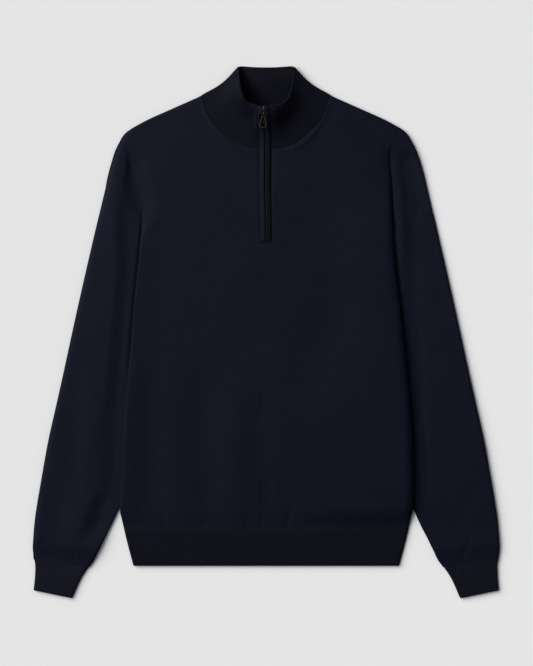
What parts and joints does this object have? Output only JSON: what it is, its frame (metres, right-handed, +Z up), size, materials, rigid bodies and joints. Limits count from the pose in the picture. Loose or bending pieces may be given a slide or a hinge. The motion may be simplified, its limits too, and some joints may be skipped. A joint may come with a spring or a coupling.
{
  "type": "quarter zip sweater",
  "caption": "Fine knit sweater with a standing collar, a short chest zip, long sleeves and rib hem and cuffs, laid flat on its back.",
  "frame": {"origin": "middle of the sweater's box, at the level of the surface it lies on", "axes": "+Y from the hem towards the collar, +Z up out of the front of the garment, +X towards the wearer's left"},
  "size_m": [0.679, 0.7714, 0.0295],
  "materials": {
    "navy_knit": "matte fine jersey knit",
    "navy_rib": "matte fine rib knit",
    "zip_tape": "matte woven tape",
    "zip_metal": "polished nickel, slightly worn"
  },
  "bodies": {
    "garment": {"front_panel": "navy_knit", "back_panel": "navy_knit", "hem_rib": "navy_rib", "collar": "navy_rib", "sleeve_left": "navy_knit", "sleeve_right": "navy_knit", "cuff_left": "navy_rib", "cuff_right": "navy_rib", "zip_tape_left": "zip_tape", "zip_tape_right": "zip_tape", "zip_welt_left": "navy_rib", "zip_welt_right": "navy_rib", "zip_slider": "zip_metal"},
    "pull": {"zip_pull": "zip_metal"}
  },
  "joints": [
    {"name": "pull_swing", "type": "hinge", "parent": "garment", "child": "pull", "pos_m": [-0.0045, 0.31274, 0.02767], "axis": [-1, 0, 0], "range_deg": [0, 180]}
  ]
}
